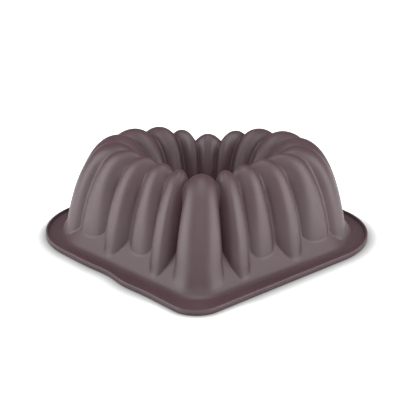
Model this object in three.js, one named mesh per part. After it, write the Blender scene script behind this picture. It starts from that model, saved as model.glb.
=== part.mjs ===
import * as THREE from "three";

// Heart-shaped fluted ring mould, standing upside down on its rim.
// +Z is up, the heart's tip points to -Y and its cleft to +Y. Millimetres and degrees.

// Rim
const FLANGE_WIDTH = 16;          // foot to rim edge around the lobes
const TIP_FLANGE_WIDTH = 26.4;    // foot to rim edge at the tip
const RIM_TIP_RADIUS = 20.3;
const FLANGE_THICKNESS = 2;
const LIP_HEIGHT = 4.3;
const LIP_THICKNESS = 2;
const LIP_CHAMFER = 0.6;

// Foot outline, where the body leaves the flange
const FOOT_LOBE_SPREAD = 56.4;    // lobe centres left and right of the middle
const FOOT_LOBE_RADIUS = 52.6;
const FOOT_TIP_REACH = 123;       // line of the lobe centres to the tip
const FOOT_TIP_RADIUS = 19.3;
const FOOT_CLEFT_RADIUS = 26;
const FOOT_FILLET = 4;

// Ridge outline, the top of the ring
const RIDGE_HEIGHT = 77.8;
const RIDGE_LOBE_SPREAD = 37.3;
const RIDGE_LOBE_RADIUS = 31.2;
const RIDGE_TIP_REACH = 72.4;
const RIDGE_TIP_RADIUS = 18.6;
const RIDGE_CLEFT_RADIUS = 25.7;
const RIDGE_SETBACK = 5.8;        // its lobe centres lie this far towards the tip

// Well outline, the closed lower end of the centre tube
const WELL_FLOOR_HEIGHT = 5;
const WELL_LOBE_SPREAD = 12;
const WELL_LOBE_RADIUS = 10;
const WELL_TIP_REACH = 45;
const WELL_TIP_RADIUS = 13;
const WELL_CLEFT_RADIUS = 16.5;
const WELL_SETBACK = 18;

// Section across the ring, two curves that meet on the ridge
const WALL_THICKNESS = 2;
const OUTER_RISE = 35.7;          // how far up the outer wall keeps its slope
const OUTER_LEAN = 0.11;          // how far it leans in over that rise, as a share of the outer half
const OUTER_SHOULDER = 0.52;      // share of the outer half that is the round of the crown
const INNER_RISE = 33.5;
const INNER_LEAN = 0.21;
const INNER_SHOULDER = 0.51;

// Flutes, counted from the tip; every second one stands back at the foot
const FLUTES = 20;
const WALL_DEPTH = 0.6;           // depth of the grooves, as a share of a flute's half width
const CROWN_DEPTH = 0.82;
const TUBE_DEPTH = 0.6;
const CLEFT_EASE = 0.85;          // how far the outer grooves beside the cleft are sunk straight down
const RIDGE_EASE = 0.6;           // along the section: grooves this near the ridge turn to straight down
const WALL_ROUNDNESS = 0.85;      // depth over half width of the arc that shapes a flute
const CROWN_ROUNDNESS = 0.45;
const TIP_POWER_FOOT = 5;         // power of the tip flute's curve, the higher the squarer
const TIP_POWER_CROWN = 2.2;
const FLUTE_SLANT = 0.3;          // 0 sinks a groove along the skin's normal, 1 along its own flute
const MINOR_RECESS = 5;
const MAJOR_RECESS = 0.8;
const RAMP_ANGLE = 50;            // slope of the ramps that close the grooves at the foot
const TIP_SHARPNESS = 3;          // how soon the added length beside the tip flute is reached
const FOOT_TIP_EXTRA = 18.2;      // added length of the outline beside the tip flute
const FOOT_SQUEEZE = 17.6;        // flutes drawn towards the tip along the sides
const RIDGE_TIP_EXTRA = 0.1;
const RIDGE_SQUEEZE = 1.9;
const RIDGE_TIP_WIDEN = 3.2;      // the tip flute takes this much from its neighbours
const WELL_TIP_EXTRA = 0.9;
const WELL_TIP_WIDEN = 1.5;

// Fineness of the surface
const COLUMNS_PER_FLUTE = 8;
const COLUMNS_BESIDE_TIP = 16;    // the tip flute is the widest
const FILLET_STEPS = 3;
const WALL_STEPS = 3;
const CROWN_STEPS = 4;            // on each side of the ridge
const TUBE_STEPS = 3;
const CROWN_START = 0.55;         // along the section: 0 foot, 1 ridge, 2 well floor
const RIDGE_PLACE = 1;
const CROWN_SPLIT = 0.88;        // the two crowns meet here
const CROWN_END = 1.4;

const COLOUR = 0x6f5b60;

const HALF = FLUTES / 2;
const FOOT_HEIGHT = FLANGE_THICKNESS + FOOT_FILLET;
const rad = THREE.MathUtils.degToRad;
const smooth = (x) => x * x * (3 - 2 * x);

// Right half of a heart: tip arc, straight side, lobe arc and hollow cleft arc
function heart({ spread, lobe, reach, tip, cleft, setback = 0 }) {
  const drop = reach - tip;
  const run = Math.hypot(spread, drop);
  const side = Math.atan2(drop, spread) - Math.asin((lobe - tip) / run);
  const lean = side - Math.PI / 2;
  const rise = Math.sqrt((lobe + cleft) ** 2 - spread ** 2);
  const join = Math.atan2(rise, -spread);
  const hollow = Math.atan2(-rise, spread);
  const lengths = [
    tip * (lean + Math.PI / 2),
    Math.sqrt(run ** 2 - (lobe - tip) ** 2),
    lobe * (join - lean),
    cleft * (hollow + Math.PI / 2),
  ];
  const at = (s) => {
    let k = 0;
    while (k < 3 && s > lengths[k]) {
      s -= lengths[k];
      k += 1;
    }
    if (k === 0) {
      const a = s / tip - Math.PI / 2;
      return arc(0, -drop - setback, tip, a, 1);
    }
    if (k === 1) {
      const p = arc(0, -drop - setback, tip, lean, 1);
      p.x += s * Math.cos(side);
      p.y += s * Math.sin(side);
      return p;
    }
    if (k === 2) {
      return arc(spread, -setback, lobe, lean + s / lobe, 1);
    }
    return arc(0, rise - setback, cleft, hollow - s / cleft, -1);
  };
  return { at, length: lengths.reduce((a, b) => a + b) };
}

function arc(x, y, radius, angle, outward) {
  const c = Math.cos(angle);
  const s = Math.sin(angle);
  return { x: x + radius * c, y: y + radius * s, nx: outward * c, ny: outward * s };
}

// Flute coordinate folded to -HALF .. HALF, 0 on the tip flute
const folded = (u) => (u > HALF ? u - FLUTES : u);

// Point of an outline at a flute coordinate, with its outward normal
function along(outline, u, extra, squeeze, widen = 0) {
  const c = folded(u);
  const v = Math.abs(c);
  const spread = extra * Math.tanh(TIP_SHARPNESS * v) * (1 - v / HALF);
  const wide = widen * Math.sin(Math.PI * Math.min(v, 1)) ** 2;
  const s = outline.length * v / HALF + spread - squeeze * Math.sin(Math.PI * v / HALF) + wide;
  const p = outline.at(s);
  return c < 0 ? { x: -p.x, y: p.y, nx: -p.nx, ny: p.ny } : p;
}

const foot = heart({
  spread: FOOT_LOBE_SPREAD,
  lobe: FOOT_LOBE_RADIUS,
  reach: FOOT_TIP_REACH,
  tip: FOOT_TIP_RADIUS,
  cleft: FOOT_CLEFT_RADIUS,
});
const rim = heart({
  spread: FOOT_LOBE_SPREAD,
  lobe: FOOT_LOBE_RADIUS + FLANGE_WIDTH,
  reach: FOOT_TIP_REACH + TIP_FLANGE_WIDTH,
  tip: RIM_TIP_RADIUS,
  cleft: FOOT_CLEFT_RADIUS - FLANGE_WIDTH,
});
const ridge = heart({
  spread: RIDGE_LOBE_SPREAD,
  lobe: RIDGE_LOBE_RADIUS,
  reach: RIDGE_TIP_REACH,
  tip: RIDGE_TIP_RADIUS,
  cleft: RIDGE_CLEFT_RADIUS,
  setback: RIDGE_SETBACK,
});
const well = heart({
  spread: WELL_LOBE_SPREAD,
  lobe: WELL_LOBE_RADIUS,
  reach: WELL_TIP_REACH,
  tip: WELL_TIP_RADIUS,
  cleft: WELL_CLEFT_RADIUS,
  setback: WELL_SETBACK,
});

// Cubic curve with four control values
function cubic(a, b, c, d, t) {
  const s = 1 - t;
  return s ** 3 * a + 3 * s * s * t * b + 3 * s * t * t * c + t ** 3 * d;
}

// One arc per flute: 1 on the crest, 0 in the groove; up goes from 0 at the foot to 1 on the ridge
function fluteArc(u, up) {
  const x = 2 * Math.abs(u - Math.round(u));
  if (Math.abs(folded(u)) < 0.5) {
    return 1 - x ** (TIP_POWER_FOOT + (TIP_POWER_CROWN - TIP_POWER_FOOT) * up);
  }
  const q = WALL_ROUNDNESS + (CROWN_ROUNDNESS - WALL_ROUNDNESS) * up;
  const r = (1 + q * q) / (2 * q);
  return (Math.sqrt(r * r - x * x) - r + q) / q;
}

// Columns across the skin, closer together on the tip flute
const columns = Array.from({ length: FLUTES }, (_, k) => {
  const n = k === 0 || k === FLUTES - 1 ? COLUMNS_BESIDE_TIP : COLUMNS_PER_FLUTE;
  return Array.from({ length: n }, (__, i) => k + i / n);
}).flat();
const COLUMNS = columns.length;
const footAt = (u) => along(foot, u, FOOT_TIP_EXTRA, FOOT_SQUEEZE);
const rimAt = (u) => along(rim, u, FOOT_TIP_EXTRA * 1.1, FOOT_SQUEEZE * 1.1);

// Point of the plain surface that touches every crest, tau 0 foot, 1 ridge, 2 well floor
function crest(u, tau) {
  const start = footAt(u);
  const top = along(ridge, u, RIDGE_TIP_EXTRA, RIDGE_SQUEEZE, RIDGE_TIP_WIDEN);
  const end = along(well, u, WELL_TIP_EXTRA, 0, WELL_TIP_WIDEN);
  const out = tau <= 1;
  const t = out ? tau : tau - 1;
  const a = out
    ? cubic(0, OUTER_LEAN / 2, 0.5 - OUTER_SHOULDER / 2, 0.5, t)
    : cubic(0.5, 0.5 + INNER_SHOULDER / 2, 1 - INNER_LEAN / 2, 1, t);
  const z = out
    ? cubic(FOOT_HEIGHT, FOOT_HEIGHT + OUTER_RISE, RIDGE_HEIGHT, RIDGE_HEIGHT, t)
    : cubic(RIDGE_HEIGHT, RIDGE_HEIGHT, WELL_FLOOR_HEIGHT + INNER_RISE, WELL_FLOOR_HEIGHT, t);
  const path = (k) => {
    const bend = 2 * top[k] - (start[k] + end[k]) / 2;
    return (1 - a) ** 2 * start[k] + 2 * a * (1 - a) * bend + a * a * end[k];
  };
  return new THREE.Vector3(path("x"), path("y"), z);
}

// Step on the plain surface from one flute coordinate to another around u
function acrossFlute(u, tau, step) {
  return crest((u + step) % FLUTES, tau).sub(crest((u - step + FLUTES) % FLUTES, tau));
}

// Direction in which a groove is sunk, towards the cake, and half the width of a flute there
function sinking(u, tau) {
  const step = 0.01;
  const across = acrossFlute(u, tau, step);
  const below = crest(u, Math.max(tau - step, 0));
  const climb = crest(u, Math.min(tau + step, 2)).sub(below);
  const normal = climb.clone().cross(across).normalize();
  const run = Math.hypot(climb.x, climb.y);
  const flute = new THREE.Vector3(climb.x * climb.z / run, climb.y * climb.z / run, -run).normalize();
  const width = acrossFlute(u, tau, 0.5).projectOnPlane(climb.normalize());
  const nearCleft = smooth(THREE.MathUtils.clamp(Math.abs(folded(u)) - HALF + 1.5, 0, 1));
  const nearRidge = smooth(Math.max(0, 1 - Math.abs(tau - RIDGE_PLACE) / RIDGE_EASE));
  const ease = Math.max(nearRidge, tau < RIDGE_PLACE ? CLEFT_EASE * nearCleft : 0);
  const direction = normal.lerp(flute, FLUTE_SLANT).normalize();
  direction.lerp(new THREE.Vector3(0, 0, -1), ease).normalize();
  return { direction, half: width.length() / 2 };
}

// Point of the fluted outer skin
function skin(u, tau) {
  const up = smooth(Math.min(tau, 1));
  const down = smooth(Math.max(tau - 1, 0));
  const { direction, half } = sinking(u, tau);
  const depth = half * (WALL_DEPTH + (CROWN_DEPTH - WALL_DEPTH) * up + (TUBE_DEPTH - CROWN_DEPTH) * down);
  const g = fluteArc(u, up);
  const minor = (1 + Math.cos(Math.PI * folded(u))) / 2;
  const back = Math.abs(folded(u)) < 1 ? 0 : MINOR_RECESS;
  const recess = back * minor + MAJOR_RECESS * (1 - minor);
  const off = depth * (1 - g) + recess * g * (1 - up);
  return crest(u, tau).addScaledVector(direction, off);
}

// Where a column of the fluted wall meets the ramp that rises from the foot
function creaseAt(u) {
  const p = footAt(u);
  const steep = Math.tan(rad(RAMP_ANGLE));
  let low = 0;
  let high = CROWN_START;
  for (let i = 0; i < 40; i += 1) {
    const mid = (low + high) / 2;
    const q = skin(u, mid);
    const inside = (p.x - q.x) * p.nx + (p.y - q.y) * p.ny;
    if (inside * steep > q.z - FOOT_HEIGHT) {
      low = mid;
    } else {
      high = mid;
    }
  }
  return high;
}

const creases = columns.map(creaseAt);
const row = (place) => columns.map(place);
const steps = (n, from, to) => Array.from({ length: n + 1 }, (_, k) => from + (to - from) * k / n);
const beside = (p, out, z) => new THREE.Vector3(p.x + out * p.nx, p.y + out * p.ny, z);
const footRow = (out, z) => row((u) => beside(footAt(u), out, z));
const rimRow = (inset, z) => row((u) => beside(rimAt(u), -inset, z));

// Outer skin from the foot over the ridge to the well floor
const outerSkin = [
  footRow(0, FOOT_HEIGHT),
  ...steps(WALL_STEPS, 0, 1).map((k) => row((u, i) => skin(u, creases[i] + (CROWN_START - creases[i]) * k))),
  ...steps(CROWN_STEPS, CROWN_START, CROWN_SPLIT).slice(1).map((tau) => row((u) => skin(u, tau))),
  ...steps(CROWN_STEPS, CROWN_SPLIT, CROWN_END).slice(1).map((tau) => row((u) => skin(u, tau))),
  ...steps(TUBE_STEPS, CROWN_END, 2).slice(1).map((tau) => row((u) => skin(u, tau))),
];
outerSkin.at(-1).forEach((p) => p.setZ(WELL_FLOOR_HEIGHT));
const CREASE_ROW = 1;
const CROWN_ROW = CREASE_ROW + WALL_STEPS;
const SPLIT_ROW = CROWN_ROW + CROWN_STEPS;
const TUBE_ROW = SPLIT_ROW + CROWN_STEPS;
const FLOOR_ROW = TUBE_ROW + TUBE_STEPS;

// Normal of the outer skin's patch between two rows and two columns, pointing away from the cake
function patchNormal(r, c) {
  const d = (c + 1) % COLUMNS;
  const across = outerSkin[r + 1][d].clone().sub(outerSkin[r][c]);
  const other = outerSkin[r + 1][c].clone().sub(outerSkin[r][d]);
  return across.cross(other).normalize();
}

// Inner skin, one wall thickness behind the outer one
const innerSkin = outerSkin.map((points, r) => points.map((p, c) => {
  const b = (c + COLUMNS - 1) % COLUMNS;
  const patches = [];
  if (r > 0) {
    patches.push(patchNormal(r - 1, b), patchNormal(r - 1, c));
  }
  if (r < FLOOR_ROW) {
    patches.push(patchNormal(r, b), patchNormal(r, c));
  }
  const normal = patches.reduce((sum, n) => sum.add(n), new THREE.Vector3());
  if (r === FLOOR_ROW) {
    normal.z = 0;
  }
  normal.normalize();
  const reach = Math.max(0.66, Math.min(...patches.map((n) => n.dot(normal))));
  return p.clone().addScaledVector(normal, -WALL_THICKNESS / reach);
}));

// The foot's own inner edge, mitred between the fillet and the ramp
const mitre = WALL_THICKNESS * Math.tan(rad(90 - RAMP_ANGLE) / 2);
innerSkin[0] = footRow(-WALL_THICKNESS, FOOT_HEIGHT - mitre);

// Fillet between flange and foot, one round above and a larger one below
const fillet = (radius) => steps(FILLET_STEPS, -90, 0).map((a) => {
  const out = FOOT_FILLET - radius * Math.cos(rad(a));
  return footRow(out, FOOT_HEIGHT + radius * Math.sin(rad(a)));
});
const upperFillet = fillet(FOOT_FILLET);
const lowerFillet = fillet(FOOT_FILLET + FLANGE_THICKNESS);

const lipFoot = [rimRow(LIP_THICKNESS, FLANGE_THICKNESS), rimRow(LIP_THICKNESS, 0)];
const lip = [
  rimRow(0, 0),
  rimRow(0, LIP_HEIGHT - LIP_CHAMFER),
  rimRow(LIP_CHAMFER, LIP_HEIGHT),
  rimRow(LIP_THICKNESS - LIP_CHAMFER, LIP_HEIGHT),
  rimRow(LIP_THICKNESS, LIP_HEIGHT - LIP_CHAMFER),
  ...lipFoot,
];
const flange = [lipFoot[0], upperFillet[0], lowerFillet[0], lipFoot[1]];
const band = [
  ...upperFillet.slice(0, -1),
  outerSkin[0],
  outerSkin[CREASE_ROW],
  innerSkin[CREASE_ROW],
  innerSkin[0],
  ...lowerFillet.slice(0, -1).reverse(),
];
const shell = (from, to) => [
  ...outerSkin.slice(from, to + 1),
  ...innerSkin.slice(from, to + 1).reverse(),
];

// The rim's extent along Y, so that the origin lies under the middle of the box
const ys = lip[0].map((p) => p.y);
const MIDDLE = (Math.min(...ys) + Math.max(...ys)) / 2;

// Two triangles per patch, split along its shorter diagonal
function patch(list, a, b, c, d) {
  if (a.distanceTo(c) < b.distanceTo(d)) {
    list.push(a, b, c, a, c, d);
  } else {
    list.push(a, b, d, b, c, d);
  }
}

// Closed ring through a loop of rows
function ring(rows) {
  const list = [];
  rows.forEach((r, k) => {
    const next = rows[(k + 1) % rows.length];
    r.forEach((p, i) => {
      const j = (i + 1) % COLUMNS;
      patch(list, p, r[j], next[j], next[i]);
    });
  });
  return list;
}

// Flat plate that closes the lower end of the centre tube
function plate(inside, outside, thickness) {
  const list = [];
  const below = outside.map((p) => new THREE.Vector3(p.x, p.y, p.z - thickness));
  const face = (points, flip) => {
    const flat = points.map((p) => new THREE.Vector2(p.x, p.y));
    for (const [a, b, c] of THREE.ShapeUtils.triangulateShape(flat, [])) {
      list.push(points[a], points[flip ? c : b], points[flip ? b : c]);
    }
  };
  face(inside, false);
  inside.forEach((p, i) => {
    const j = (i + 1) % COLUMNS;
    patch(list, outside[i], outside[j], inside[j], p);
    patch(list, below[i], below[j], outside[j], outside[i]);
  });
  face(below, true);
  return list;
}

function volume(list) {
  let sum = 0;
  for (let i = 0; i < list.length; i += 3) {
    sum += list[i].dot(list[i + 1].clone().cross(list[i + 2]));
  }
  return sum;
}

const group = new THREE.Group();
group.name = "heart_mould";

function add(name, list) {
  const positions = [];
  const inward = volume(list) < 0;
  for (let i = 0; i < list.length; i += 3) {
    const corners = inward ? [list[i], list[i + 2], list[i + 1]] : list.slice(i, i + 3);
    corners.forEach((p) => positions.push(p.x, p.y - MIDDLE, p.z));
  }
  const geometry = new THREE.BufferGeometry();
  geometry.setAttribute("position", new THREE.Float32BufferAttribute(positions, 3));
  geometry.computeVertexNormals();
  const material = new THREE.MeshStandardMaterial({ color: COLOUR, roughness: 0.6, metalness: 0 });
  const mesh = new THREE.Mesh(geometry, material);
  mesh.name = name;
  group.add(mesh);
}

add("rim_lip", ring(lip));
add("rim_flange", ring(flange));
add("base_band", ring(band));
add("outer_wall", ring(shell(CREASE_ROW, CROWN_ROW)));
add("crown", ring(shell(CROWN_ROW, SPLIT_ROW)));
add("inner_crown", ring(shell(SPLIT_ROW, TUBE_ROW)));
add("centre_tube", ring(shell(TUBE_ROW, FLOOR_ROW)));
add("tube_cap", plate(outerSkin[FLOOR_ROW], innerSkin[FLOOR_ROW], WALL_THICKNESS));

export default group;
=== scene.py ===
import math
from collections import namedtuple

import bpy
import numpy as np
from mathutils import Matrix, Vector


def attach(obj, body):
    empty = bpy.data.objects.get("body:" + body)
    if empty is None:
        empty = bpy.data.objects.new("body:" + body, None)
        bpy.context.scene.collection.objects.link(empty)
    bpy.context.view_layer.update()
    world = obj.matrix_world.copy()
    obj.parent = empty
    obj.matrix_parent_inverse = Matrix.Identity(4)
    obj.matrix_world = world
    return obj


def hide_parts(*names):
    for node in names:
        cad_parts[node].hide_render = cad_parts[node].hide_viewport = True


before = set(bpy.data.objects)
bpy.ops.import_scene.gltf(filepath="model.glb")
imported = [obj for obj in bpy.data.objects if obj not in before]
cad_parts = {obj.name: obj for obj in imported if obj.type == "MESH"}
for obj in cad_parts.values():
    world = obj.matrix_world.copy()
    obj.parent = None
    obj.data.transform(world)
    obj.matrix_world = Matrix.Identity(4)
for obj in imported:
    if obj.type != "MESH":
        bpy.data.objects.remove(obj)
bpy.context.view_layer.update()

# A fluted heart ring mould of satin silicone, one moulding, standing upside down on its rim.
# Lengths of the shape are in millimetres and become metres in the mesh.
# Places around the ring are flute coordinates: 0 on the tip flute, 10 at the cleft, negative on the left.
MM_PER_M = 1000

Heart = namedtuple("Heart", "spread lobe reach tip cleft setback")
Stretches = namedtuple("Stretches", "drop side lean rise hollow tip_end side_end lobe_end length")
Spacing = namedtuple("Spacing", "extra squeeze widen")

# Rim
FLANGE_WIDTH = 14.2
TIP_FLANGE_WIDTH = 26.4
RIM_TIP_RADIUS = 20.3
FLANGE_THICKNESS = 2.0
LIP_HEIGHT = 4.3
LIP_THICKNESS = 2.0
LIP_ROUND = 0.7
LIP_ROOT = 1.3
LIP_SIDE = ((0.4, 0.0), (0.1, 0.12), (0.0, 0.4), (0.0, 1.6), (0.0, 2.6))  # inset and height of each row
WAVE_PLACE, WAVE_SPAN, WAVE_HEIGHT, WAVE_FADE = -2.15, 1.2, 1.9, 2.0

# Outlines: distance of each lobe's centre from the middle, lobe radius, reach from there to the tip,
# radii of the tip and the cleft, and how far the whole outline is moved towards the tip
FOOT = Heart(spread=56.4, lobe=54.4, reach=123.0, tip=19.3, cleft=24.2, setback=0.0)
RIDGE = Heart(spread=37.3, lobe=31.2, reach=72.4, tip=18.6, cleft=25.7, setback=5.8)
WELL = Heart(spread=12.0, lobe=10.0, reach=45.0, tip=13.0, cleft=16.5, setback=18.0)
RIM = Heart(spread=FOOT.spread, lobe=FOOT.lobe + FLANGE_WIDTH, reach=FOOT.reach + TIP_FLANGE_WIDTH,
            tip=RIM_TIP_RADIUS, cleft=FOOT.cleft - FLANGE_WIDTH, setback=0.0)
FOOT_RISE = 4.0
FOOT_HEIGHT = FLANGE_THICKNESS + FOOT_RISE
RIDGE_HEIGHT = 77.8
CROWN_LEAN = 0.8
WELL_FLOOR_HEIGHT = 5.0

# Section across the ring
WALL_THICKNESS = 2.0
OUTER_RISE, OUTER_LEAN, OUTER_SHOULDER = 35.7, 0.11, 0.52
INNER_RISE, INNER_LEAN, INNER_SHOULDER = 33.5, 0.21, 0.51

# Flutes: depths are shares of half a flute's width, shallow at the sides and over the shoulders
FLUTES = 20
HALF = FLUTES // 2
DEPTH_FRONT, DEPTH_SIDE, DEPTH_BACK = 0.75, 0.34, 0.6
DEPTH_CROWN, DEPTH_SHOULDER, DEPTH_TUBE = 0.82, 0.34, 0.6
SIDE_PLACES = (3.0, 5.0, 6.2, 7.6)
SHOULDER_PLACES = (3.6, 5.2, 5.7, 6.4)
CLEFT_EASE, CLEFT_SPAN = 0.85, 1.5
RIDGE_EASE = 0.6
FLUTE_SLANT = 0.3
TIP_SHARPNESS = 3.0
TIP_SQUARE, MAJOR_SQUARE, MINOR_SQUARE, CROWN_SQUARE = 5.0, 2.9, 2.0, 2.2
MINOR_RECESS, MAJOR_RECESS, TIP_RECESS, RECESS_FADE = 5.0, 0.8, 2.5, 0.6
FOOT_SPACING = Spacing(extra=18.2, squeeze=17.6, widen=1.2)
RIDGE_SPACING = Spacing(extra=0.1, squeeze=1.9, widen=2.0)
WELL_SPACING = Spacing(extra=0.9, squeeze=5.0, widen=0.3)
RIM_STRETCH = 1.1
RIM_SPACING = Spacing(FOOT_SPACING.extra * RIM_STRETCH, FOOT_SPACING.squeeze * RIM_STRETCH, 0.0)

# Ramp that closes the grooves at the foot, and the soft ends of the flutes on it
RAMP_ANGLE = math.radians(50)
RAMP_ROOT = 3.4
CREASE_BELOW, CREASE_ABOVE = 1.2, 1.2
RUNOUT_BELOW, RUNOUT_ABOVE, RUNOUT_SPAN = 2.6, 9.0, 0.42
TIP_RUNOUT_BELOW, TIP_RUNOUT_ABOVE, TIP_RUNOUT_PLACES = 5.0, 15.0, (0.3, 0.5)
WALL_CLIMB = 105.0  # along the wall from foot to ridge

# Fineness
COLUMNS_PER_FLUTE = 20
COLUMNS_BESIDE_TIP = 36
RAMP_ROWS, CREASE_ROWS, WALL_ROWS, CROWN_ROWS = 8, 10, 25, 64
ROOT_ROWS, FLANGE_ROWS, LIP_CORNER_ROWS = 10, 5, 5
WALL_CROWDING = 1.2
CAP_SHARES = (0.98, 0.9, 0.7, 0.45, 0.2)
CROWN_START = 0.55  # where the crown's rows begin, with 0 at the foot and 1 at the ridge
SLOPE_STEP = 0.01
HALVINGS = 40
WALL_PASSES, TUBE_PASSES = 3, 60
TUBE_FIRST_ROW, TUBE_FULL_ROW = 40, 70  # rows of the outer skin between which the grooves fill out

# Silicone
TINT_DARK, TINT_LIGHT = (0.056, 0.0295, 0.0355, 1), (0.063, 0.0325, 0.0395, 1)
TINT_PLACES = (0.3, 0.7)
CLOUD_SCALE, CLOUD_DETAIL = 35, 4
ROUGH_LEAST, ROUGH_MOST = 0.44, 0.5
SPECULAR_LEVEL = 0.7
GRAIN_SCALE, GRAIN_DETAIL = 1400, 3
GRAIN_STRENGTH, GRAIN_HEIGHT = 0.12, 0.0002

# Floor and contact shadow: in metres, but the shadow's reach is in mm, at places around the rim
FLOOR_REACH, FLOOR_DROP = 6.0, 0.0002
PAPER_TONE, PAPER_ROUGHNESS, PAPER_GLOW = 0.9, 0.9, 0.45
SHADOW_PLACES = (-10, -6.4, -5.4, -4.4, -1.2, -0.5, 0, 0.5, 1.2, 4.4, 6.4, 7.4, 10)
SHADOW_REACH = (5, 7, 13, 16, 16, 9, 8, 9, 16, 16, 16, 7, 5)
SHADOW_DARKEST, SHADOW_INSET, SHADOW_ROWS, SHADOW_DROP = 0.45, 0.1, 10, 0.0001

# Lights in metres and watts: place, height of the aim, size, power, seen in reflections
MIDDLE_LIGHTS = {
    "ceiling": ((0, 0, 2.2), 0, (5.0, 5.0), 70, False),
    "top_box": ((0, -0.2, 1.3), 0.06, (0.8, 0.8), 5.2, True),
    "back_fill": ((0, 1.4, 0.9), 0.04, (1.6, 1.0), 9, False),
    "front_fill": ((0, -1.4, 0.95), 0.04, (1.2, 0.7), 4.6, True),
}

# Lights on both sides: azimuth from the front, elevation, distance, width, power
SIDE_LIGHTS = {
    "box": (80, 18, 1.2, 0.9, 9.6),
    "high_box": (60, 52, 1.3, 0.6, 1.5),
}
SIDE_AIM = 0.04
ROOM_GLOW = 0.15

# Camera: distance in metres, lens and sensor in mm, shifts as shares of the picture
AZIMUTH, ELEVATION, DISTANCE = math.radians(3.06), math.radians(22.5), 1.2
LENS, SENSOR = 133.24, 36
SHIFT_X, SHIFT_Y = 0.0040, 0.0608


def smooth(x):
    return x * x * (3 - 2 * x)


def cubic(a, b, c, d, t):
    s = 1 - t
    return s ** 3 * a + 3 * s * s * t * b + 3 * s * t * t * c + t ** 3 * d


def unit(v):
    return v / np.linalg.norm(v, axis=-1, keepdims=True)


def folded(u):
    """Flute coordinate from -HALF to HALF, 0 on the tip flute."""
    return (u + HALF) % FLUTES - HALF


def stretches(shape):
    """Angles of half a heart, and where its tip, straight side, lobe and cleft end, in mm from the tip."""
    drop = shape.reach - shape.tip
    run = math.hypot(shape.spread, drop)
    side = math.atan2(drop, shape.spread) - math.asin((shape.lobe - shape.tip) / run)
    lean = side - math.pi / 2
    rise = math.sqrt((shape.lobe + shape.cleft) ** 2 - shape.spread ** 2)
    join = math.atan2(rise, -shape.spread)
    hollow = math.atan2(-rise, shape.spread)
    tip_end = shape.tip * (lean + math.pi / 2)
    side_end = tip_end + math.sqrt(run ** 2 - (shape.lobe - shape.tip) ** 2)
    lobe_end = side_end + shape.lobe * (join - lean)
    length = lobe_end + shape.cleft * (hollow + math.pi / 2)
    return Stretches(drop, side, lean, rise, hollow, tip_end, side_end, lobe_end, length)


def heart_point(shape, s):
    """Points and outward normals along the right half of a heart, s in mm from the tip."""
    part = stretches(shape)
    on_tip, on_front, outside = s < part.tip_end, s < part.side_end, s < part.lobe_end
    lobe_angle = part.lean + (s - part.side_end) / shape.lobe
    cleft_angle = part.hollow - (s - part.lobe_end) / shape.cleft
    angle = np.where(outside, lobe_angle, cleft_angle)
    angle = np.where(on_tip, s / shape.tip - math.pi / 2, np.where(on_front, part.lean, angle))
    ca, sa = np.cos(angle), np.sin(angle)
    straight = np.clip(s - part.tip_end, 0, part.side_end - part.tip_end)
    x = np.where(on_front, shape.tip * ca + straight * math.cos(part.side),
                 np.where(outside, shape.spread + shape.lobe * ca, shape.cleft * ca))
    y = np.where(on_front, -part.drop + shape.tip * sa + straight * math.sin(part.side),
                 np.where(outside, shape.lobe * sa, part.rise + shape.cleft * sa))
    out = np.where(outside, 1.0, -1.0)
    return x, y - shape.setback, out * ca, out * sa


def along(shape, u, spacing):
    """Points and normals of an outline at flute coordinates u."""
    c = folded(u)
    v = np.abs(c)
    s = stretches(shape).length * v / HALF + spacing.extra * np.tanh(TIP_SHARPNESS * v) * (1 - v / HALF)
    s = s - spacing.squeeze * np.sin(math.pi * v / HALF)
    s = s + spacing.widen * np.sin(math.pi * np.minimum(v, 1)) ** 2
    x, y, nx, ny = heart_point(shape, s)
    sign = np.where(c < 0, -1.0, 1.0)
    return np.stack([x * sign, y], -1), np.stack([nx * sign, ny], -1)


def crest(u, tau):
    """The plain surface over the crests: tau 0 foot, 1 ridge, 2 well floor."""
    start = along(FOOT, u, FOOT_SPACING)[0]
    top = along(RIDGE, u, RIDGE_SPACING)[0]
    end = along(WELL, u, WELL_SPACING)[0]
    t = np.where(tau <= 1, tau, tau - 1)
    a = np.where(tau <= 1, cubic(0, OUTER_LEAN / 2, 0.5 - OUTER_SHOULDER / 2, 0.5, t),
                 cubic(0.5, 0.5 + INNER_SHOULDER / 2, 1 - INNER_LEAN / 2, 1, t))
    z = np.where(tau <= 1, cubic(FOOT_HEIGHT, FOOT_HEIGHT + OUTER_RISE, RIDGE_HEIGHT, RIDGE_HEIGHT, t),
                 cubic(RIDGE_HEIGHT, RIDGE_HEIGHT, WELL_FLOOR_HEIGHT + INNER_RISE, WELL_FLOOR_HEIGHT, t))
    a = a[:, None]
    bend = 2 * top - (start + end) / 2
    xy = (1 - a) ** 2 * start + 2 * a * (1 - a) * bend + a * a * end
    return np.column_stack([xy, z])


def sinking(u, tau):
    """Direction in which a groove is sunk, towards the cake, and half of a flute's width."""
    across = crest(u + SLOPE_STEP, tau) - crest(u - SLOPE_STEP, tau)
    climb = crest(u, np.minimum(tau + SLOPE_STEP, 2)) - crest(u, np.maximum(tau - SLOPE_STEP, 0))
    normal = unit(np.cross(climb, across))
    run = np.hypot(climb[:, 0], climb[:, 1])
    flute = unit(np.column_stack([climb[:, 0] * climb[:, 2] / run, climb[:, 1] * climb[:, 2] / run, -run]))
    forward = unit(climb)
    width = crest(u + 0.5, tau) - crest(u - 0.5, tau)
    width = width - (width * forward).sum(-1, keepdims=True) * forward
    half = np.linalg.norm(width, axis=-1) / 2
    direction = unit(normal + (flute - normal) * FLUTE_SLANT)
    ease = CLEFT_EASE * smooth(np.clip(np.abs(folded(u)) - HALF + CLEFT_SPAN, 0, 1)) * (tau < 1)
    ease = np.maximum(ease, smooth(np.maximum(0, 1 - np.abs(tau - 1) / RIDGE_EASE)))
    return unit(direction + (np.array([0, 0, -1]) - direction) * ease[:, None]), half


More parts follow.
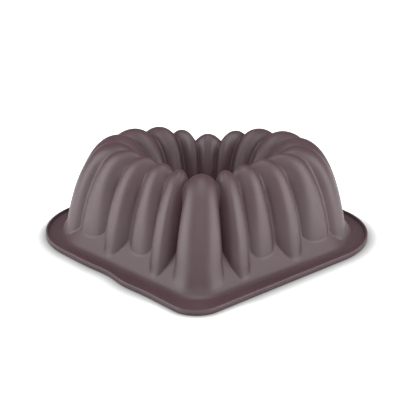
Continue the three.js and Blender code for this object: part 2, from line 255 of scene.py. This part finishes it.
def skin(u, tau):
    """The fluted outer skin, with every second flute set back at the foot."""
    up = smooth(np.minimum(tau, 1))
    down = smooth(np.maximum(tau - 1, 0))
    direction, half = sinking(u, tau)
    c = folded(u)
    place = np.abs(c)
    wall = np.interp(place, SIDE_PLACES, (DEPTH_FRONT, DEPTH_SIDE, DEPTH_SIDE, DEPTH_BACK))
    crown = np.interp(place, SHOULDER_PLACES, (DEPTH_CROWN, DEPTH_SHOULDER, DEPTH_SHOULDER, DEPTH_CROWN))
    depth = (wall + (crown - wall) * up + (DEPTH_TUBE - crown) * down) * half
    minor = (1 + np.cos(math.pi * c)) / 2
    square = np.where(np.round(c) % 2 == 1, MAJOR_SQUARE, MINOR_SQUARE)
    square = np.where(place < 0.5, TIP_SQUARE, square)
    square = square + (CROWN_SQUARE - square) * up ** 2
    swell = 1 - (2 * np.abs(u - np.round(u))) ** square
    minor_recess = np.where(place < 1, TIP_RECESS, MINOR_RECESS * (wall / DEPTH_FRONT) ** RECESS_FADE)
    recess = minor_recess * minor + MAJOR_RECESS * (1 - minor)
    sunk = depth * (1 - swell) + recess * swell * (1 - up)
    return crest(u, tau) + direction * sunk[:, None]


def crease_at(u):
    """Where each column of the fluted wall meets the ramp that rises from the foot."""
    p, n = along(FOOT, u, FOOT_SPACING)
    low = np.zeros_like(u)
    high = np.full_like(u, CROWN_START)
    for _ in range(HALVINGS):
        mid = (low + high) / 2
        q = skin(u, mid)
        inside = ((p - q[:, :2]) * n).sum(-1)
        behind = inside * math.tan(RAMP_ANGLE) > q[:, 2] - FOOT_HEIGHT
        low = np.where(behind, mid, low)
        high = np.where(behind, high, mid)
    return high


def grid_normals(rows):
    """Unit normals of a closed band of points, rows x columns x 3."""
    across = np.roll(rows, -1, 1) - np.roll(rows, 1, 1)
    up = np.gradient(rows, axis=0)
    return unit(np.cross(across, up))


def evened(directions, passes):
    """Unit directions evened out around the ring, each with half the weight of both neighbours."""
    for _ in range(passes):
        directions = unit(directions + 0.5 * (np.roll(directions, 1, 1) + np.roll(directions, -1, 1)))
    return directions


def beside(xy, n, out, z):
    """A row of points at one height, moved out from an outline."""
    return np.column_stack([xy + out * n, np.full(len(xy), z)])


def between(a, b, n):
    """Rows strictly between two rows."""
    return [a + (b - a) * k for k in np.linspace(0, 1, n + 2)[1:-1]]


def rounding(a, corner, b, n):
    """Rows of a soft corner between two rows."""
    return [(1 - t) ** 2 * a + 2 * t * (1 - t) * corner + t * t * b for t in np.linspace(0, 1, n)]


def columns_in(flute):
    return COLUMNS_BESIDE_TIP if flute in (0, FLUTES - 1) else COLUMNS_PER_FLUTE


# Columns around the ring
u = np.concatenate([k + np.arange(columns_in(k)) / columns_in(k) for k in range(FLUTES)])
columns = len(u)
foot_xy, foot_n = along(FOOT, u, FOOT_SPACING)
rim_xy, rim_n = along(RIM, u, RIM_SPACING)
middle = (rim_xy[:, 1].min() + rim_xy[:, 1].max()) / 2

# The soft rim is slightly wavy along its left front
from_wave = (folded(u) - WAVE_PLACE) / WAVE_SPAN
wave = WAVE_HEIGHT * np.sin(math.pi * from_wave) * np.exp(-WAVE_FADE * from_wave ** 2)
rim_xy = rim_xy + rim_n * wave[:, None]

# The tip flute and every second flute run out softly into the ramp
runout_from, runout_to = TIP_RUNOUT_PLACES
from_tip = np.clip((np.abs(folded(u)) - runout_from) / (runout_to - runout_from), 0, 1)
from_major = np.clip(np.abs(np.abs(folded(u)) % 2 - 1) / RUNOUT_SPAN, 0, 1)
tip_share, major_share = 1 - smooth(from_tip), 1 - smooth(from_major)


def softened(crease, runout, tip_runout):
    """Length of the soft corner of each column."""
    return crease + (runout - crease) * major_share + (tip_runout - crease) * tip_share


# The ramp rises from the flange to the crease
ramp_reach = FOOT_RISE / math.tan(RAMP_ANGLE)
ramp_foot = beside(foot_xy, foot_n, ramp_reach, FLANGE_THICKNESS)
crease = crease_at(u)
crease_row = skin(u, crease)
uphill = unit(crease_row - ramp_foot)
ramp_start = ramp_foot + RAMP_ROOT * uphill
ramp_end = crease_row - softened(CREASE_BELOW, RUNOUT_BELOW, TIP_RUNOUT_BELOW)[:, None] * uphill
wall_start = crease + softened(CREASE_ABOVE, RUNOUT_ABOVE, TIP_RUNOUT_ABOVE) / WALL_CLIMB

# Outer skin from the ramp to the well floor
wall_shares = np.linspace(0, 1, WALL_ROWS) ** WALL_CROWDING
outer = [ramp_start + (ramp_end - ramp_start) * k for k in np.linspace(0, 1, RAMP_ROWS)[:-1]]
outer += rounding(ramp_end, crease_row, skin(u, wall_start), CREASE_ROWS)[:-1]
outer += [skin(u, wall_start + (CROWN_START - wall_start) * k) for k in wall_shares]
outer += [skin(u, np.full_like(u, t)) for t in np.linspace(CROWN_START, 2, CROWN_ROWS)[1:]]
outer[-1][:, 2] = WELL_FLOOR_HEIGHT
outer = np.array(outer)

# Inner skin, one wall behind it, with the narrow grooves of the tube filled out
close = evened(grid_normals(outer), WALL_PASSES)
broad = evened(close, TUBE_PASSES)
past_crown = (np.arange(len(outer)) - TUBE_FIRST_ROW) / (TUBE_FULL_ROW - TUBE_FIRST_ROW)
tube_share = np.clip(past_crown, 0, 1)[:, None, None]
inner = outer - WALL_THICKNESS * unit(close + (broad - close) * tube_share)
inner[-1] = outer[-1] - WALL_THICKNESS * unit(broad[-1] * [1, 1, 0])
inner[:, :, 2] = np.minimum(inner[:, :, 2], RIDGE_HEIGHT - WALL_THICKNESS)


def rim_row(inset, z):
    return beside(rim_xy, rim_n, -inset, z)


def rounded(inset, z, radius, start, end):
    """Rows around a round corner of the lip, from one angle to another."""
    return [rim_row(inset + radius * math.cos(a), z + radius * math.sin(a))
            for a in np.radians(np.linspace(start, end, LIP_CORNER_ROWS))]


# Lip, from the floor over its top to the flange
lip_shoulder = LIP_HEIGHT - LIP_ROUND
lip = [rim_row(inset, z) for inset, z in LIP_SIDE]
lip += rounded(LIP_ROUND, lip_shoulder, LIP_ROUND, 180, 90)
lip += rounded(LIP_THICKNESS - LIP_ROUND, lip_shoulder, LIP_ROUND, 90, 0)
lip += rounded(LIP_THICKNESS + LIP_ROOT, FLANGE_THICKNESS + LIP_ROOT, LIP_ROOT, 180, 270)

# Soft root of the ramp, above and below the flange
root_start = beside(foot_xy, foot_n, ramp_reach + RAMP_ROOT, FLANGE_THICKNESS)
upper = rounding(root_start, ramp_foot, outer[0], ROOT_ROWS)
inner_reach = ramp_reach - WALL_THICKNESS * math.tan(RAMP_ANGLE / 2)
inner_start = beside(foot_xy, foot_n, inner_reach + RAMP_ROOT, 0)
lower = rounding(inner_start, beside(foot_xy, foot_n, inner_reach, 0), inner[0], ROOT_ROWS)

# Flat cap of the tube
cap_y = outer[-1][:, 1].mean()
cap_under = WELL_FLOOR_HEIGHT - WALL_THICKNESS
inner_edge = inner[-1] * [1, 1, 0] + [0, 0, cap_under]


def cap_rows(edge, z):
    """Rows of the cap, from its edge to near its centre."""
    centre = np.array([0.0, cap_y, z])
    return [centre + (edge * [1, 1, 0] + [0, 0, z] - centre) * k for k in CAP_SHARES]


# All rows of the moulding, over the top and back underneath
rows = list(lip) + between(lip[-1], upper[0], FLANGE_ROWS) + upper[:-1] + list(outer)
rows += cap_rows(outer[-1], WELL_FLOOR_HEIGHT)
rows_below = cap_rows(inner_edge, cap_under)[::-1] + [inner_edge] + list(inner[::-1])
rows_below += lower[:-1][::-1] + between(lower[0], lip[0], FLANGE_ROWS)
points = np.concatenate(rows + rows_below)
points[:, 1] -= middle
points[:, 0] += CROWN_LEAN * points[:, 2] / RIDGE_HEIGHT
hubs = [[0, cap_y - middle, WELL_FLOOR_HEIGHT], [0, cap_y - middle, cap_under]]
vertices = np.vstack([points, hubs])

here = np.arange(columns)
onward = (here + 1) % columns


def band(a, b):
    """Quads between two rows."""
    a, b = a * columns, b * columns
    return np.stack([a + here, a + onward, b + onward, b + here], 1).tolist()


def fan(a, b, hub):
    """Triangles from the edges of a row to a point."""
    return np.stack([a, b, np.full(columns, hub)], 1).tolist()


top_rows, all_rows = len(rows), len(rows) + len(rows_below)
faces = []
for first, last in ((0, top_rows - 1), (top_rows, all_rows - 1)):
    for r in range(first, last):
        faces += band(r, r + 1)
faces += band(all_rows - 1, 0)
cap_top, cap_low = (top_rows - 1) * columns, top_rows * columns
faces += fan(cap_top + here, cap_top + onward, len(points))
faces += fan(cap_low + onward, cap_low + here, len(points) + 1)


def placed(name, data):
    """A new object of the scene."""
    thing = bpy.data.objects.new(name, data)
    bpy.context.scene.collection.objects.link(thing)
    return thing


mesh = bpy.data.meshes.new("heart_mould")
mesh.from_pydata((vertices / MM_PER_M).tolist(), [], faces)
mesh.validate()
mesh.polygons.foreach_set("use_smooth", [True] * len(mesh.polygons))
mould = placed("heart_mould", mesh)
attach(mould, "root")
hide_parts("rim_lip", "rim_flange", "base_band", "outer_wall", "crown", "inner_crown",
            "centre_tube", "tube_cap")


def silicone():
    """Satin mauve-brown silicone, faintly clouded, with a fine grain."""
    material = bpy.data.materials.new("silicone")
    material.use_nodes = True
    nodes, links = material.node_tree.nodes, material.node_tree.links
    shader = nodes["Principled BSDF"]
    place = nodes.new("ShaderNodeTexCoord")
    cloud = nodes.new("ShaderNodeTexNoise")
    cloud.inputs["Scale"].default_value = CLOUD_SCALE
    cloud.inputs["Detail"].default_value = CLOUD_DETAIL
    links.new(place.outputs["Object"], cloud.inputs["Vector"])
    tint = nodes.new("ShaderNodeValToRGB")
    for stop, position, colour in zip(tint.color_ramp.elements, TINT_PLACES, (TINT_DARK, TINT_LIGHT)):
        stop.position = position
        stop.color = colour
    links.new(cloud.outputs["Fac"], tint.inputs["Fac"])
    links.new(tint.outputs["Color"], shader.inputs["Base Color"])
    shade = nodes.new("ShaderNodeMapRange")
    shade.inputs["To Min"].default_value = ROUGH_LEAST
    shade.inputs["To Max"].default_value = ROUGH_MOST
    shader.inputs["Specular IOR Level"].default_value = SPECULAR_LEVEL
    links.new(cloud.outputs["Fac"], shade.inputs["Value"])
    links.new(shade.outputs["Result"], shader.inputs["Roughness"])
    grain = nodes.new("ShaderNodeTexNoise")
    grain.inputs["Scale"].default_value = GRAIN_SCALE
    grain.inputs["Detail"].default_value = GRAIN_DETAIL
    links.new(place.outputs["Object"], grain.inputs["Vector"])
    bump = nodes.new("ShaderNodeBump")
    bump.inputs["Strength"].default_value = GRAIN_STRENGTH
    bump.inputs["Distance"].default_value = GRAIN_HEIGHT
    links.new(grain.outputs["Fac"], bump.inputs["Height"])
    links.new(bump.outputs["Normal"], shader.inputs["Normal"])
    return material


def paper():
    """Pale floor paper that glows a little, so that it stays white."""
    material = bpy.data.materials.new("floor_paper")
    material.use_nodes = True
    shader = material.node_tree.nodes["Principled BSDF"]
    shader.inputs["Base Color"].default_value = (PAPER_TONE, PAPER_TONE, PAPER_TONE, 1)
    shader.inputs["Roughness"].default_value = PAPER_ROUGHNESS
    shader.inputs["Specular IOR Level"].default_value = 0.0
    shader.inputs["Emission Color"].default_value = (1, 1, 1, 1)
    shader.inputs["Emission Strength"].default_value = PAPER_GLOW
    return material


def shadow_veil():
    """A veil that dims what lies under it by the value of each point."""
    material = bpy.data.materials.new("shadow_veil")
    material.use_nodes = True
    nodes, links = material.node_tree.nodes, material.node_tree.links
    nodes.remove(nodes["Principled BSDF"])
    value = nodes.new("ShaderNodeAttribute")
    value.attribute_name = "dim"
    shader = nodes.new("ShaderNodeBsdfTransparent")
    links.new(value.outputs["Fac"], shader.inputs["Color"])
    links.new(shader.outputs["BSDF"], nodes["Material Output"].inputs["Surface"])
    return material


mesh.materials.append(silicone())

# Pale floor
floor_corners = [(x * FLOOR_REACH, y * FLOOR_REACH, 0) for x, y in ((-1, -1), (1, -1), (1, 1), (-1, 1))]
floor_mesh = bpy.data.meshes.new("floor")
floor_mesh.from_pydata(floor_corners, [], [(0, 1, 2, 3)])
floor_mesh.materials.append(paper())
floor = placed("floor", floor_mesh)
floor.location.z = -FLOOR_DROP

# Contact shadow: a band around the rim that dims the floor, longest along the sides and at the right end
reach_at = np.interp(folded(u), SHADOW_PLACES, SHADOW_REACH)
shadow_shares = np.linspace(-SHADOW_INSET, 1, SHADOW_ROWS)
shadow_points = np.concatenate([beside(rim_xy, rim_n, (reach_at * k)[:, None], 0.0) for k in shadow_shares])
shadow_points[:, 1] -= middle
shadow_faces = []
for r in range(SHADOW_ROWS - 1):
    shadow_faces += band(r, r + 1)
shadow_mesh = bpy.data.meshes.new("contact_shadow")
shadow_mesh.from_pydata((shadow_points / MM_PER_M - [0, 0, SHADOW_DROP]).tolist(), [], shadow_faces)
shadow_light = SHADOW_DARKEST + (1 - SHADOW_DARKEST) * np.clip(shadow_shares, 0, 1)
dim = shadow_mesh.attributes.new("dim", "FLOAT", "POINT")
dim.data.foreach_set("value", np.repeat(shadow_light, columns))
shadow_mesh.materials.append(shadow_veil())
shadow = placed("contact_shadow", shadow_mesh)


def softbox(name, place, target, size, power):
    """A rectangular light aimed at a point."""
    data = bpy.data.lights.new(name, "AREA")
    data.shape = "RECTANGLE"
    data.size, data.size_y = size
    data.energy = power
    lamp = placed(name, data)
    lamp.location = place
    lamp.rotation_euler = (Vector(target) - Vector(place)).to_track_quat("-Z", "Y").to_euler()
    return lamp


def toward(azimuth, elevation):
    """Unit vector from the mould, azimuth 0 in front and positive to the right."""
    level = math.cos(elevation)
    return Vector((math.sin(azimuth) * level, -math.cos(azimuth) * level, math.sin(elevation)))


# Light tent: ceiling, top, back and front in the middle, and two soft boxes on each side
for name, (place, aim_height, size, power, reflected) in MIDDLE_LIGHTS.items():
    lamp = softbox(name, place, (0, 0, aim_height), size, power)
    lamp.visible_glossy = reflected
for side, sign in (("left", -1), ("right", 1)):
    for name, (azimuth, elevation, distance, width, power) in SIDE_LIGHTS.items():
        place = toward(math.radians(sign * azimuth), math.radians(elevation)) * distance
        softbox(f"{side}_{name}", place, (0, 0, SIDE_AIM), (width, width), power)
world = bpy.data.worlds.new("room")
world.use_nodes = True
room = world.node_tree.nodes["Background"]
room.inputs["Color"].default_value = (1, 1, 1, 1)
room.inputs["Strength"].default_value = ROOM_GLOW
bpy.context.scene.world = world
bpy.context.scene.view_settings.view_transform = "Standard"

# Camera at the photograph's angle, for a square picture
back = toward(AZIMUTH, ELEVATION)
right = Vector((math.cos(AZIMUTH), math.sin(AZIMUTH), 0))
upward = back.cross(right)
camera_data = bpy.data.cameras.new("camera")
camera_data.lens = LENS
camera_data.sensor_width = SENSOR
camera_data.shift_x, camera_data.shift_y = SHIFT_X, SHIFT_Y
camera = placed("camera", camera_data)
aim = Vector((0, -middle / MM_PER_M, 0))
turned = Matrix((right, upward, back)).transposed().to_4x4()
camera.matrix_world = Matrix.Translation(aim + back * DISTANCE) @ turned
bpy.context.scene.camera = camera
